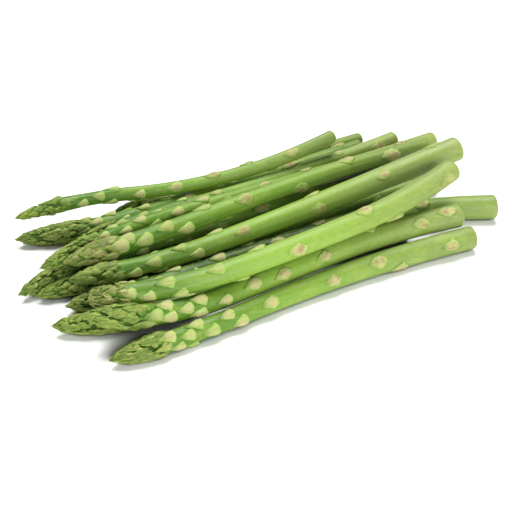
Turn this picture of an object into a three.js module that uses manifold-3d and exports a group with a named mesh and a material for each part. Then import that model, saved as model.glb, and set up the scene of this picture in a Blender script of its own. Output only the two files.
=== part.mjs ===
import * as THREE from 'three';
import Module from 'manifold-3d';

const wasm = await Module();
wasm.setup();

// A loose bundle of fresh asparagus spears, lying on a flat surface. Millimetres, +Z up.
// Each spear is one body: a stem, the bracts grown on it, and a head of close bracts.
// The tips point to -X and the cut butts to +X.

// Stem section and rings.
const SIDES = 10;
const STEM_STEP = 24;
const GROUND_SINK = 0.05;
// Radius of a stem whose bracts have the sizes given here.
const THICK = 5.2;
// Head: the core under the bracts, and where its rings stand as shares of the head length.
const CORE = 0.8;
const CORE_RINGS = [0.1, 0.3, 0.6, 1];
const HEAD_BRACTS = 16;
// Bracts on the stem. Where their places are not given they stand in a spiral, and their spacing
// grows from the head to the butt. A gap longer than LONG_GAP has one more bract on the far side.
const STEM_BRACTS = 7;
const FIRST_GAP = 8;
const GAP_GROWTH = 1.33;
const LONG_GAP = 22;
const BARE_END = 8;
const BRACT_LENGTH = 9;
const BRACT_HALF = 4.2;
const BRACT_LIFT = 1;
const BRACT_ROOT = 0.7;
const TURN = 137.5;
// Least difference between a point's distance to a neighbour and to its own stem.
const CLEAR = 0.35;

// The spears, in the order in which they are laid. tip and butt are the ends of the middle line.
// bow bends the whole length, nod bends the head end, kick bends the butt end: [sideways, up].
// neck and foot are the radii below the head and at the butt, head is the head's length.
// open is how far the head's bracts stand off, turn is the angle of the first bract.
// bracts are the places of those on the upper side: [from the tip, degrees round the stem].
const SPEARS = [
  { name: 'spear_m', tip: [-112, -60], butt: [104, -60.2], bow: [9.5, 0], nod: [11, 0], kick: [0.5, 0],
    neck: 5.2, foot: 6.6, head: 38, open: 0.5, turn: 20, ground: true,
    bracts: [[33, 110], [37, 190], [43, 145], [45, 230], [49, 95], [56, 170], [66, 110], [72, 180],
      [91, 140], [129, 160], [158, 130], [171, 205], [202, 160]] },
  { name: 'spear_k', tip: [-126, -34.5], butt: [78, -32.5], bow: [7, 0], nod: [24, 0], kick: [0, 0],
    neck: 5.6, foot: 5.8, head: 42, open: 0.3, turn: 75, ground: true },
  { name: 'spear_l', tip: [-114, -15], butt: [134.5, -28.5], bow: [12, 0], nod: [16, 0], kick: [-15, 0],
    neck: 4.9, foot: 7.2, head: 34, open: 0.3, turn: 140, ground: true },
  { name: 'spear_n', tip: [-123, 17.5], butt: [122, -1.5], bow: [0, 0], nod: [-0.5, 0], kick: [0, 0],
    neck: 4.7, foot: 5.3, head: 38, open: 0.3, turn: 200, ground: true },
  { name: 'spear_f', tip: [-129, 37.5], butt: [109, 17], bow: [-1.5, 0], nod: [-16, 0], kick: [0, 0],
    neck: 5.3, foot: 5.5, head: 44, open: 0.4, turn: 265, ground: true },
  { name: 'spear_b', tip: [-113.5, 58.5], butt: [107.5, 53], bow: [-1, 0], nod: [11.5, 0], kick: [0, 0],
    neck: 5, foot: 5.3, head: 42, open: 0.4, turn: 310, ground: true },
  { name: 'spear_c', tip: [-56, 64.5], butt: [115, 65], bow: [0, 0], nod: [2.5, 0], kick: [-2, 0],
    neck: 3.8, foot: 4.1, head: 28, open: 0.3, turn: 15, ground: true },
  { name: 'spear_j', tip: [-117, -47, 12], butt: [102.5, -40.5, 15.7], bow: [3.7, -2], nod: [17.5, 9.5],
    kick: [-8, -1], neck: 5.6, foot: 6.8, head: 40, open: 0.5, turn: 60,
    bracts: [[37, 150], [44, 175], [43, 105], [53, 145], [60, 190], [61, 115], [74, 160], [92, 130],
      [110, 145], [136, 145], [168, 70], [197, 140], [214, 110]] },
  { name: 'spear_d', tip: [-96, 52.5, 10.5], butt: [126.5, 45, 9.5], bow: [-5.5, -1.5], nod: [-12, -3],
    kick: [-1.5, 1], neck: 4.4, foot: 4.7, head: 38, open: 0.4, turn: 110,
    bracts: [[38, 110], [46, 180], [52, 120], [64, 150], [78, 60], [99, 105], [126, 190], [154, 65],
      [183, 80], [210, 160]] },
  { name: 'spear_g', tip: [-117, 35.5, 18.5], butt: [148, 32, 7.5], bow: [-1, -0.5], nod: [-13.5, -2],
    kick: [0.5, 1], neck: 4.4, foot: 5.2, head: 40, open: 0.4, turn: 170 },
  { name: 'spear_a', tip: [-104, 97.5, 17], butt: [83.5, 50.5, 21], bow: [-17, -5], nod: [-21.5, -3.5],
    kick: [-4, 3], neck: 3.8, foot: 4.1, head: 44, open: 0.5, turn: 220,
    bracts: [[41, 180], [51, 135], [58, 225], [60, 60], [74, 165], [95, 140], [118, 95], [140, 50],
      [167, 130]] },
  { name: 'spear_e', tip: [-105, 11, 17], butt: [134, 22, 15], bow: [5, 1], nod: [7.5, 1.5],
    kick: [-0.5, -1], neck: 5.2, foot: 4.9, head: 38, open: 0.5, turn: 280,
    bracts: [[34, 145], [39, 110], [48, 155], [62, 115], [73, 180], [88, 60], [113, 120], [150, 200],
      [185, 75], [214, 150]] },
  { name: 'spear_i', tip: [-106.5, -30, 18], butt: [111, -31.5, 25.5], bow: [-10, 4.5], nod: [14, -0.5],
    kick: [2.5, 6], neck: 5.7, foot: 6.5, head: 26, open: 1.2, turn: 320,
    bracts: [[18, 190], [21, 140], [29, 170], [39, 110], [44, 195], [64, 110], [89, 50], [108, 170],
      [154, 95], [172, 225], [210, 160]] },
  { name: 'spear_h', tip: [-106.5, 3, 10], butt: [130.5, -5.5, 27], bow: [-1, -2.5], nod: [5, 4.5],
    kick: [-5, 3], neck: 5, foot: 7.3, head: 36, open: 0.4, turn: 45,
    bracts: [[36, 190], [47, 145], [51, 230], [63, 100], [71, 170], [86, 50], [99, 135], [145, 170],
      [147, 50], [189, 130], [225, 60]] },
];

const UP = new THREE.Vector3(0, 0, 1);
const rad = THREE.MathUtils.degToRad;
const clamp = THREE.MathUtils.clamp;

function planLength(spear) {
  return Math.hypot(spear.butt[0] - spear.tip[0], spear.butt[1] - spear.tip[1]);
}

// Outer radius at x millimetres from the tip: a pointed head, then a slightly growing stem.
function radius(spear, x) {
  const share = clamp((x - spear.head) / (planLength(spear) - spear.head), 0, 1);
  const stem = spear.neck + (spear.foot - spear.neck) * share;
  if (x >= spear.head) {
    return stem;
  }
  const u = clamp(x / spear.head, 0, 1);
  const swell = spear.neck * 1.12 * Math.sin(Math.PI / 2 * Math.min(u * 1.25 + 0.06, 1)) ** 0.8;
  const blend = THREE.MathUtils.smoothstep(u, 0.6, 1);
  return swell * (1 - blend) + spear.neck * blend;
}

// Height of the middle line of a spear that lies on the surface, on one facet of its stem.
function groundHeight(r) {
  return r * Math.cos(Math.PI / SIDES) - GROUND_SINK;
}

// A point of the middle line, t = 0 at the tip and 1 at the butt.
function centre(spear, t) {
  const length = planLength(spear);
  const dx = spear.butt[0] - spear.tip[0];
  const dy = spear.butt[1] - spear.tip[1];
  const bow = 4 * t * (1 - t);
  const nod = clamp(1 - t / 0.35, 0, 1) ** 2;
  const kick = clamp((t - 0.65) / 0.35, 0, 1) ** 2;
  const side = spear.bow[0] * bow + spear.nod[0] * nod + spear.kick[0] * kick;
  const lift = spear.bow[1] * bow + spear.nod[1] * nod + spear.kick[1] * kick;
  const z0 = spear.ground ? groundHeight(spear.neck) : spear.tip[2];
  const z1 = spear.ground ? groundHeight(spear.foot) : spear.butt[2];
  return new THREE.Vector3(
    spear.tip[0] + dx * t - dy / length * side,
    spear.tip[1] + dy * t + dx / length * side,
    z0 * (1 - t) + z1 * t + lift,
  );
}

// The middle line of every spear as points with their radii, used to keep neighbours apart.
const LINES = SPEARS.map((spear) => {
  const length = planLength(spear);
  return Array.from({ length: 81 }, (_, k) => {
    const t = k / 80;
    return { at: centre(spear, t), r: radius(spear, t * length) };
  });
});

// Height of a point over the stem of one spear, with the nearest point of its middle line.
function over(line, p) {
  let best = { height: Infinity, foot: line[0].at };
  for (let k = 0; k < line.length - 1; k += 1) {
    const a = line[k];
    const b = line[k + 1];
    const ab = b.at.clone().sub(a.at);
    const s = clamp(p.clone().sub(a.at).dot(ab) / ab.lengthSq(), 0, 1);
    const foot = a.at.clone().addScaledVector(ab, s);
    const height = p.distanceTo(foot) - (a.r + (b.r - a.r) * s);
    if (height < best.height) {
      best = { height, foot };
    }
  }
  return best;
}

// Presses a point in towards its own middle line until it is clear of every neighbour.
function pressed(index, p) {
  const out = p.clone();
  for (let pass = 0; pass < 3; pass += 1) {
    const own = over(LINES[index], out);
    let push = 0;
    LINES.forEach((line, k) => {
      if (k !== index) {
        push = Math.max(push, (own.height + CLEAR - over(line, out).height) / 2);
      }
    });
    if (push <= 0) {
      break;
    }
    const inward = own.foot.clone().sub(out);
    out.addScaledVector(inward.normalize(), Math.min(push, out.distanceTo(own.foot) * 0.9));
  }
  return out;
}

// A point on a spear: x from the tip, an angle round the stem (90 is up), height over the radius.
function onSpear(index, x, angle, height, share = 1) {
  const spear = SPEARS[index];
  const length = planLength(spear);
  const t = x / length;
  const at = centre(spear, t);
  const along = centre(spear, t + 0.002).sub(centre(spear, t - 0.002)).normalize();
  const side = new THREE.Vector3().crossVectors(UP, along).normalize();
  const top = new THREE.Vector3().crossVectors(along, side);
  const r = Math.max(radius(spear, x) * share + height, 0.1);
  at.addScaledVector(side, Math.cos(angle) * r);
  at.addScaledVector(top, Math.sin(angle) * r);
  return pressed(index, at);
}

// Closed solid from points and triangles, turned outwards.
function solid(points, faces) {
  let volume = 0;
  faces.forEach(([a, b, c]) => {
    volume += points[a].dot(new THREE.Vector3().crossVectors(points[b], points[c]));
  });
  const turned = volume > 0 ? faces : faces.map(([a, b, c]) => [a, c, b]);
  return new wasm.Manifold(new wasm.Mesh({
    numProp: 3,
    vertProperties: new Float32Array(points.flatMap((p) => p.toArray())),
    triVerts: new Uint32Array(turned.flat()),
  }));
}

// The stem with its head core: rings from tip to butt, closed by a point and by the cut face.
function stem(index) {
  const spear = SPEARS[index];
  const length = planLength(spear);
  const stretch = length - spear.head;
  const count = Math.round(stretch / STEM_STEP);
  const rings = CORE_RINGS.map((u) => [u * spear.head, CORE + (1 - CORE) * u ** 6]);
  for (let k = 1; k <= count; k += 1) {
    rings.push([spear.head + stretch * k / count, 1]);
  }
  const points = [centre(spear, 0.004)];
  rings.forEach(([x, share]) => {
    for (let k = 0; k < SIDES; k += 1) {
      points.push(onSpear(index, x, 2 * Math.PI * (k + 0.5) / SIDES + Math.PI / 2, 0, share));
    }
  });
  points.push(centre(spear, 1));
  const faces = [];
  const last = points.length - 1;
  for (let k = 0; k < SIDES; k += 1) {
    const next = (k + 1) % SIDES;
    faces.push([0, 1 + k, 1 + next]);
    faces.push([last, last - SIDES + next, last - SIDES + k]);
    for (let ring = 0; ring < rings.length - 1; ring += 1) {
      const a = 1 + ring * SIDES;
      const b = a + SIDES;
      faces.push([a + k, b + k, b + next]);
      faces.push([a + k, b + next, a + next]);
    }
  }
  return solid(points, faces);
}

// Bract outlines as [along, across, height]: 0 to 1 from base to apex, -1 to 1 across, and a
// height of 1 at the crest. Heights of -1 are roots sunk in the stem, the last point most of all.
const WIDE = {
  points: [
    [-0.16, 0, -1], [0, -1, -1], [0.5, -0.62, -1], [1, 0, 0.3], [0.5, 0.62, -1], [0, 1, -1],
    [-0.06, 0, 1], [0.04, -0.6, 0.85], [0.04, 0.6, 0.85], [0.6, -0.25, 0.7], [0.6, 0.25, 0.7],
    [0.45, 0, -3],
  ],
  faces: [
    [0, 1, 7], [0, 7, 6], [0, 6, 8], [0, 8, 5], [1, 2, 7], [2, 9, 7], [2, 3, 9], [3, 10, 9],
    [3, 4, 10], [4, 8, 10], [4, 5, 8], [7, 9, 6], [9, 10, 6], [10, 8, 6],
    [1, 0, 11], [2, 1, 11], [3, 2, 11], [4, 3, 11], [5, 4, 11], [0, 5, 11],
  ],
};
const NARROW = {
  points: [
    [-0.12, 0, -1], [0.3, -1, -1], [1, 0, 0.45], [0.3, 1, -1], [0.35, 0, 1], [0.4, 0, -2.5],
  ],
  faces: [
    [0, 1, 4], [1, 2, 4], [2, 3, 4], [3, 0, 4], [1, 0, 5], [2, 1, 5], [3, 2, 5], [0, 3, 5],
  ],
};

// One bract, its base x millimetres from the tip and its apex towards the tip.
function bract(index, shape, x, angle, length, half, lift, share) {
  const spear = SPEARS[index];
  const points = shape.points.map(([u, v, h]) => {
    const at = Math.max(x - u * length, 0.4);
    const r = Math.max(radius(spear, at) * share, 1);
    const height = h > 0 ? h * lift : h * BRACT_ROOT;
    return onSpear(index, at, angle + v * half / r, height, share);
  });
  return solid(points, shape.faces);
}

// Places of the bracts on the stem: [from the tip, degrees round the stem].
function stemNodes(spear) {
  if (!spear.bracts) {
    const growth = (k) => (GAP_GROWTH ** (k + 1) - 1) / (GAP_GROWTH - 1);
    const spiral = Array.from({ length: STEM_BRACTS }, (_, k) => [
      spear.head + FIRST_GAP * growth(k), spear.turn - TURN * k,
    ]);
    return spiral.filter(([x]) => x < planLength(spear) - BARE_END);
  }
  return spear.bracts.flatMap(([x, angle], k) => {
    const next = spear.bracts[k + 1];
    if (!next || next[0] - x < LONG_GAP) {
      return [[x, angle]];
    }
    return [[x, angle], [(x + next[0]) / 2, (angle + next[1]) / 2 + 180]];
  });
}

function buildSpear(index) {
  const spear = SPEARS[index];
  const size = spear.neck / THICK;
  let body = stem(index);
  stemNodes(spear).forEach(([x, angle]) => {
    const half = BRACT_HALF * size;
    body = body.add(bract(index, WIDE, x, rad(angle), BRACT_LENGTH * size, half, BRACT_LIFT, 1));
  });
  for (let k = 0; k < HEAD_BRACTS; k += 1) {
    const share = k / (HEAD_BRACTS - 1);
    const base = spear.head * (1.02 - 0.93 * share ** 0.9);
    const angle = rad(spear.turn + TURN * (k + 1));
    const small = size * (1 - 0.45 * share);
    const lift = radius(spear, base) * (1 - CORE) + spear.open;
    body = body.add(bract(index, NARROW, base, angle, 13 * small, 5 * small, lift, CORE));
  }
  return body;
}

// Everything under the surface z = 0 is cut away, which leaves small flats where spears lie.
const slab = new THREE.BoxGeometry(400, 300, 20);
slab.translate(0, 0, -10);
const corners = [];
const cornerFaces = [];
const seen = new Map();
for (let k = 0; k < slab.index.count; k += 3) {
  cornerFaces.push([0, 1, 2].map((m) => {
    const p = new THREE.Vector3().fromBufferAttribute(slab.attributes.position, slab.index.getX(k + m));
    const key = p.toArray().join();
    if (!seen.has(key)) {
      seen.set(key, corners.length);
      corners.push(p);
    }
    return seen.get(key);
  }));
}
const under = solid(corners, cornerFaces);
const bodies = SPEARS.map((spear, index) => buildSpear(index).subtract(under));

const group = new THREE.Group();
group.name = 'asparagus_bundle';
bodies.forEach((body, index) => {
  const mesh = body.getMesh();
  const points = new Float32Array(mesh.numVert * 3);
  for (let k = 0; k < mesh.numVert; k += 1) {
    for (let m = 0; m < 3; m += 1) {
      points[k * 3 + m] = mesh.vertProperties[k * mesh.numProp + m];
    }
  }
  const geometry = new THREE.BufferGeometry();
  geometry.setAttribute('position', new THREE.BufferAttribute(points, 3));
  geometry.setIndex(new THREE.BufferAttribute(new Uint32Array(mesh.triVerts), 1));
  const material = new THREE.MeshStandardMaterial({ color: 0x86b03c, roughness: 0.55, metalness: 0 });
  material.name = `${SPEARS[index].name}_skin`;
  geometry.computeVertexNormals();
  const node = new THREE.Mesh(geometry, material);
  node.name = SPEARS[index].name;
  group.add(node);
});

// The bundle stands centred on the origin, on z = 0.
const box = new THREE.Box3().setFromObject(group);
const middle = box.getCenter(new THREE.Vector3());
group.position.set(-middle.x, -middle.y, 0);

export default group;
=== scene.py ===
import math

import bpy
import numpy as np
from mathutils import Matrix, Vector


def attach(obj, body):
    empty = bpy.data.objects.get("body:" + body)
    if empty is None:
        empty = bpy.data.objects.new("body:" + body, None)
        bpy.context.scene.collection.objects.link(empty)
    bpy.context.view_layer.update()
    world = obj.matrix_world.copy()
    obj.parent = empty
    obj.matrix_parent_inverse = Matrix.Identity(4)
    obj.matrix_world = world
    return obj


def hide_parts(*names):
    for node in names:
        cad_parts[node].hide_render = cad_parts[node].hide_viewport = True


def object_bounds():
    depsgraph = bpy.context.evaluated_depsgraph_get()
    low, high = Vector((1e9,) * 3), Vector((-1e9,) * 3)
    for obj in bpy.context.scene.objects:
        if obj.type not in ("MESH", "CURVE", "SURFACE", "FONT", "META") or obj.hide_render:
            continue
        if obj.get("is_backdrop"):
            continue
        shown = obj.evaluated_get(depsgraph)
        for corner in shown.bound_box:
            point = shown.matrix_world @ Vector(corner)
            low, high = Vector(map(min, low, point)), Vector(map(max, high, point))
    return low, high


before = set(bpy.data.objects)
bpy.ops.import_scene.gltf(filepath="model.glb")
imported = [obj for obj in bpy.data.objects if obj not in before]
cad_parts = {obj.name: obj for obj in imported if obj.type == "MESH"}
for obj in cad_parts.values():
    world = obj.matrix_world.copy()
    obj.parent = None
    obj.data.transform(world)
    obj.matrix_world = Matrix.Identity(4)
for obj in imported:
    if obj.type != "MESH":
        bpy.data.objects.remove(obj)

# A loose bundle of fresh asparagus. A spear is shaped in millimetres, in the coordinates in which
# the pile is laid, and its points are moved to the CAD frame, in metres, as its mesh is made.
CAD_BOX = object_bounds()
MM = 0.001
FULL_TURN = 2 * math.pi
# The point of the laid coordinates that is the CAD frame's origin: under the middle of the CAD's box.
MIDDLE = np.array([9.0086, 6.9883, 0.0])

# The spears' outlines, as in the CAD. Those on the ground lie on a flat of their ten-sided stems,
# sunk a little. nod and kick bend a spear over this share of its length at each end.
CAD_SIDES = 10
GROUND_SINK = 0.05
END_BEND = 0.35
# A head swells to this times the neck's radius. Its outline is a sine wave, so steep, begun so far
# on and rounded by a power, and from HEAD_WANE of its length on it narrows to the neck.
HEAD_SWELL = 1.12
HEAD_STEEP = 1.25
HEAD_START = 0.06
HEAD_ROUND = 0.8
HEAD_WANE = 0.6

# Shares of the middle lines where neighbours are looked for, and half the step of a tangent.
# Neighbours are less than NEAR apart, and a few passes find the place on one nearest to a point.
STATIONS = np.linspace(0, 1, 161)
TANGENT_STEP = 0.002
NEAR = 5
NEAREST_PASSES = 2
# What grows on a spear gives way to its neighbours: a point is pressed in until it is CLEAR nearer to
# its own stem's skin than to theirs. A pass takes away at most PRESS_MOST of its distance, and at
# last it springs back by a share of the way, so that points keep their order.
CLEAR = 0.35
PRESS_PASSES = 5
PRESS_MOST = 0.9
SPRING = 0.05

# tip and butt are the ends of the middle line, in the CAD's own words: bow bends the whole length,
# nod the head end and kick the butt end, each [sideways, up]. neck and foot are the radii below the
# head and at the butt, head is the head's length and crown that of its part with close scales, open
# how far these stand off, and turn the degrees of the first one round the stem. tone is the stem's
# shade, from deep to pale, ripe the head's, from green to beige, tongue the width of its scales,
# blunt the thickness of its very tip and fan the size of the stem's bracts. pale is how much paler
# the butt's end is.
# bracts are places of bracts on the upper side: millimetres from the tip, and degrees round the
# stem, where 90 is up.
SPEARS = [
    dict(name="spear_m", tip=(-112, -60), butt=(104, -60.2), bow=(9.5, 0), nod=(11, 0), kick=(0.5, 0),
         neck=5.2, foot=6.6, head=38, crown=31, open=0.6, turn=20, tone=0.55, ripe=0.5, tongue=1.0,
         blunt=0.4,
         bracts=((33, 110), (37, 190), (43, 145), (45, 230), (49, 95), (56, 170), (66, 110), (72, 180),
                 (91, 140), (129, 160), (158, 130), (171, 205), (202, 160))),
    dict(name="spear_k", tip=(-126, -34.5), butt=(78, -32.5), bow=(7, 0), nod=(24, 0), kick=(0, 0),
         neck=5.6, foot=5.8, head=42, open=0.3, turn=75, tone=0.25, ripe=0.3, tongue=0.65, blunt=0.3),
    # spear_l's tone below zero paints its stem dark green as shade, where it lies deep under its
    # neighbours; its pale makes the butt's end paler again.
    dict(name="spear_l", tip=(-114, -15), butt=(134.5, -28.5), bow=(12, 0), nod=(16, 0), kick=(-15, 0),
         neck=4.9, foot=7.2, head=34, open=0.3, turn=140, tone=-0.6, ripe=0.5, tongue=1.1, blunt=0.4,
         pale=1.2),
    dict(name="spear_n", tip=(-123, 17.5), butt=(122, -1.5), bow=(0, 0), nod=(-0.5, 0), kick=(0, 0),
         neck=4.7, foot=5.3, head=38, open=0.3, turn=200, tone=0.2, ripe=0.4, tongue=0.8, blunt=0.3),
    dict(name="spear_f", tip=(-129, 37.5), butt=(109, 17), bow=(-1.5, 0), nod=(-16, 0), kick=(0, 0),
         neck=5.3, foot=5.5, head=44, open=0.4, turn=265, tone=0.2, ripe=0.6, tongue=0.75, blunt=0.3),
    dict(name="spear_b", tip=(-113.5, 58.5), butt=(107.5, 53), bow=(-1, 0), nod=(11.5, 0), kick=(0, 0),
         neck=5, foot=5.3, head=42, open=0.4, turn=310, tone=0.2, ripe=0.5, tongue=0.85, blunt=0.3),
    dict(name="spear_c", tip=(-56, 64.5), butt=(115, 65), bow=(0, 0), nod=(2.5, 0), kick=(-2, 0),
         neck=3.8, foot=4.1, head=28, open=0.3, turn=15, tone=0.4, ripe=0.3, tongue=0.9, blunt=0.3),
    dict(name="spear_j", tip=(-117, -47, 12), butt=(102.5, -40.5, 15.7), bow=(3.7, -2), nod=(17.5, 9.5),
         kick=(-8, -1), neck=5.6, foot=6.8, head=40, crown=34, open=0.7, turn=60, tone=0.65, ripe=0.35,
         tongue=1.1, blunt=0.4,
         bracts=((37, 150), (44, 175), (43, 105), (53, 145), (60, 190), (61, 115), (74, 160), (92, 130),
                 (110, 145), (136, 145), (168, 70), (197, 140), (214, 110))),
    dict(name="spear_d", tip=(-96, 52.5, 10.5), butt=(126.5, 45, 9.5), bow=(-5.5, -1.5), nod=(-12, -3),
         kick=(-1.5, 1), neck=4.4, foot=4.7, head=38, open=0.4, turn=110, tone=0.45, ripe=0.2, tongue=0.95,
         blunt=0.3, pale=0.5,
         bracts=((38, 110), (46, 180), (52, 120), (64, 150), (78, 60), (99, 105), (126, 190), (154, 65),
                 (183, 80), (210, 160))),
    dict(name="spear_g", tip=(-117, 35.5, 18.5), butt=(148, 32, 7.5), bow=(-1, -0.5), nod=(-13.5, -2),
         kick=(0.5, 1), neck=4.4, foot=5.2, head=40, open=0.4, turn=170, tone=0.5, ripe=0.3, tongue=0.9,
         blunt=0.3, pale=0.5),
    dict(name="spear_a", tip=(-104, 97.5, 17), butt=(83.5, 50.5, 21), bow=(-17, -5), nod=(-21.5, -3.5),
         kick=(-4, 3), neck=3.8, foot=4.1, head=44, crown=34, open=0.5, turn=220, tone=0.5, ripe=0.1,
         tongue=1.3, blunt=0.55, fan=1.1,
         bracts=((41, 180), (51, 135), (58, 225), (60, 60), (74, 165), (95, 140), (118, 95), (140, 50),
                 (167, 130))),
    dict(name="spear_e", tip=(-105, 11, 17), butt=(134, 22, 15), bow=(5, 1), nod=(7.5, 1.5),
         kick=(-0.5, -1), neck=5.2, foot=4.9, head=38, crown=31, open=0.5, turn=280, tone=0.45, ripe=0.9,
         tongue=1.45, blunt=0.45, fan=1.3,
         bracts=((34, 145), (39, 110), (48, 155), (62, 115), (73, 180), (88, 60), (113, 120), (150, 200),
                 (185, 75), (214, 150))),
    dict(name="spear_i", tip=(-106.5, -30, 18), butt=(111, -31.5, 25.5), bow=(-10, 4.5), nod=(14, -0.5),
         kick=(2.5, 6), neck=5.7, foot=6.5, head=26, crown=15, open=1.2, turn=320, tone=0.85, ripe=0.9,
         tongue=0.9, blunt=0.9, fan=0.95,
         bracts=((18, 190), (21, 140), (29, 170), (39, 110), (44, 195), (64, 110), (89, 50), (108, 170),
                 (154, 95), (172, 225), (210, 160))),
    dict(name="spear_h", tip=(-106.5, 3, 10), butt=(130.5, -5.5, 27), bow=(-1, -2.5), nod=(5, 4.5),
         kick=(-5, 3), neck=5, foot=7.3, head=36, crown=28, open=0.4, turn=45, tone=0.9, ripe=0.45,
         tongue=1.35, blunt=0.65,
         bracts=((36, 190), (47, 145), (51, 230), (63, 100), (71, 170), (86, 50), (99, 135), (145, 170),
                 (147, 50), (189, 130), (225, 60))),
]

# A spear's random draws start from this number and its place in the list.
SEED = 101
# In the patterns' coordinates the spears lie this far apart, so that no two look alike.
PATTERN_SHIFT = 300.0
# pale is added to the shade from this share of the length on.
PALE_FROM = 0.6

# Stem: the skin lies a little inside the CAD's corners. Under a head's scales it is a thinner core,
# from a share of the head on, which widens to the skin between two shares of the crown.
SKIN_SIDES = 44
RING_STEP = 1.35
HEAD_RINGS = 24
CORE_START = 0.05
SKIN_SHARE = 0.975
CORE_SHARE = 0.85
CORE_ENDS = (0.75, 0.95)
# Ribs and broader flats run along the stem, twisting a little, and its section is now round, now
# oval. They swing in two waves, [millimetres for a radian, height], and grow over the first RIB_GROWTH.
RIBS = 9
RIB_HEIGHT = 0.05
RIB_TWIST = 0.5
RIB_GROWTH = 12
FLATS = 5
FLAT_SHARE = 0.5
OVAL_HEIGHT = 0.08
SWINGS = ((37, 1.0), (17, 0.6))
# The cut end: a rounded rim beyond the stem's last ring, and a dished face with rings at these shares.
RIM_ROUND = 1.7
RIM_RINGS = 6
RIM_GAP = 0.5
FACE_RINGS = (0.9, 0.78, 0.6, 0.4, 0.2, 0.06)
FACE_DISH = 0.5

# The tip is drawn in over this length. Bracts, buds and threads end at least TIP_GAP from it, and
# bracts and buds have no point closer than TIP_EDGE.
POINT_LENGTH = 6.0
TIP_GAP = 0.2
TIP_EDGE = 0.35
# Bracts and scales stand in a spiral of this angle, in degrees. Their measures are those on a stem of
# the radius THICK, and a stem's bracts grow by a power of its own radius.
GOLDEN = 137.5
THICK = 5.2
THICK_POWER = 0.7
# A stem's spiral starts inside the head and ends at a bare end, with growing gaps.
SPIRAL_START = 4
BARE_END = 8
FIRST_GAP = 2.2
GAP_GROWTH = 1.07

# Fans below the head change to patches between these distances from it. Patches differ more in lift.
PATCH_SPAN = (20, 95)
PATCH_LIFT = 0.5
# Points along and across a bract and a scale, with rows crowded towards the base.
BRACT_GRID = (12, 10)
SCALE_GRID = (11, 9)
ROW_CROWDING = 1.2
# half is a bract's half width, lift the height of its crest, brow that of its base as a share, edge
# that of its margin. bulge rounds its base, pinch narrows it over the length rounding, taper draws in
# its apex, flare hollows its sides, ragged frays them, folds ripple its face, tuck sinks its base and
# peel lifts its apex.
FAN = dict(length=7.8, half=3.7, lift=1.25, brow=0.75, edge=0.18, bulge=1.3, pinch=0.15, rounding=0.12,
           taper=1.15, flare=0.1, ragged=0.03, folds=0.05, tuck=0.0, thick=0.6, peel=0.0)
PATCH = dict(length=8.8, half=4.2, lift=0.75, brow=0.5, edge=0.06, bulge=2.0, pinch=0.4, rounding=0.3,
             taper=1.9, flare=0.0, ragged=0.09, folds=0.09, tuck=0.0, thick=0.5, peel=0.0)
TONGUE = dict(length=10.0, half=2.3, lift=1.45, brow=0.25, edge=0.1, bulge=0.9, pinch=0.6, rounding=0.25,
              taper=1.6, flare=0.0, ragged=0.05, folds=0.1, tuck=0.5, thick=1.4, peel=0.25)
# The waves of a bract's sides, base and upper face, each [height, radians from base to apex, radians
# from middle to side, number of its phase]. Those of the base are higher, times BASE_FRINGE.
SIDE_WAVES = ((1, 11, 5, 3), (1, 19, 0, 4))
BASE_WAVES = ((1, 0, 9, 4),)
FOLD_WAVES = ((1, 0, 7, 0), (0.7, 2, 13, 1), (0.8, 9, 3, 2))
BASE_FRINGE = 4
PHASES = 5
# Shares of a bract's length: the brow rises to the crest until BROW_END, the crest falls by
# CREST_FALL from CREST_FROM on, the tuck ends at TUCK_END and the peel starts at PEEL_FROM.
BROW_END = 0.2
CREST_FROM = 0.15
CREST_FALL = 0.78
TUCK_END = 0.4
PEEL_FROM = 0.5
# The power of the crest's section across, the share of width at the apex, the power of a bract's
# lean to one side, and the share of its length where its width is laid round the stem.
SECTION_POWER = 2.2
APEX_WIDTH = 0.03
LEAN_POWER = 1.5
WIDEST = 0.4
# The least thickness of a fan or patch, and least distances from the middle line.
LEAF_LEAST = 0.2
LEAF_CORE = 0.2
BUD_CORE = 0.15
# Widths and places of buds become angles as if the spear were nowhere thinner than this.
BRACT_LEAST = 1.2
BUD_LEAST = 1.4
NODE_LEAST = 2

# A head has about this many scales: more where they are narrow, fewer where they are wide or stand
# off. They reach over this share of the crown, closer together by a power, and shrink on the way.
HEAD_NODES = 38
WIDE_POWER = 0.8
OPEN_THINNING = 1.6
HEAD_REACH = 0.9
HEAD_CROWDING = 0.85
TIP_SHRINK = 0.45
# Measures of a head's bud, whose rise strays, and the places of buds round a scale, [aside, ahead].
BUD = dict(length=4.6, half=1.05, rise=-0.35, stray=0.45, thick=0.95)
BUD_PLACES = ((-2.1, 0.4), (2.1, 0.4), (-0.9, -2.2), (0.9, -2.2))
# A bud's rings and sides, the share where its rings start, the powers that shift its thickest part
# and make it plump, and the thickness of its ends.
BUD_RINGS = 9
BUD_SIDES = 8
BUD_START = 0.02
BUD_SHIFT = 0.8
BUD_PLUMP = 0.75
BUD_END = 0.06

# The flowering tip: threads, their points, the free room round each, the share of thickness at their
# ends and the share of a half wave left out there. They sway in waves of so many radians and drift
# aside by a power, and a thread is left out where it would be pressed by PRESSED_LEAST.
THREADS = 150
THREAD_POINTS = 13
THREAD_ROOM = 0.9
THREAD_END = 0.3
THREAD_TAPER = 0.05
THREAD_SWAY = 7
DRIFT_POWER = 1.5
PRESSED_LEAST = 0.05
# A direction that no thread follows.
ASKEW = (0.3, 0.5, 0.8)
# Its loose buds. They grow at least this far from the tip, and at most this far beyond the crown.
LOOSE_BUDS = 50
LOOSE_REACH = 4
LOOSE_BUD = dict(half=0.7, thick=0.65, curl=0.8)

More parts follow.
